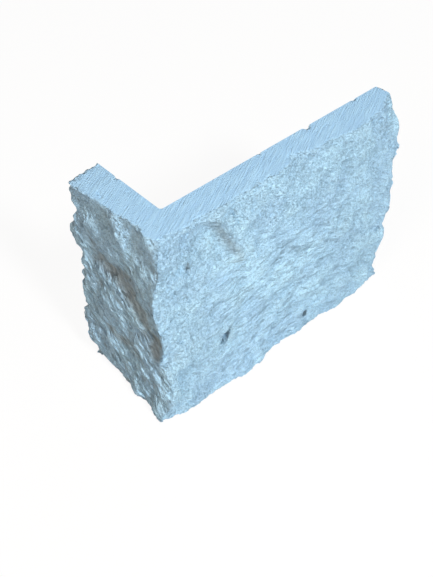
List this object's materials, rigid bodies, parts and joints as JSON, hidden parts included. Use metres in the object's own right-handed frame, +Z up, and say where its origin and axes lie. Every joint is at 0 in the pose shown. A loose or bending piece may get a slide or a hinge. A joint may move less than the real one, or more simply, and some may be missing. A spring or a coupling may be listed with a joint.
{
  "type": "ledger stone corner piece",
  "caption": "L-shaped corner unit of split-faced ledger stone, sawn flat on its bed, top and backs, that turns a stone course round a wall's outside corner.",
  "frame": {"origin": "where the two sawn backs meet, on the sawn bed", "axes": "+Z up from the bed, +X along the long leg away from the corner, +Y along the return away from the corner; the long leg's split face looks to -Y and the return's to -X"},
  "size_m": [0.2033, 0.0882, 0.15],
  "materials": {
    "split_limestone": "matt, broken faces with sawn bed, top and backs"
  },
  "bodies": {
    "root": {"corner_stone": "split_limestone"}
  },
  "joints": []
}
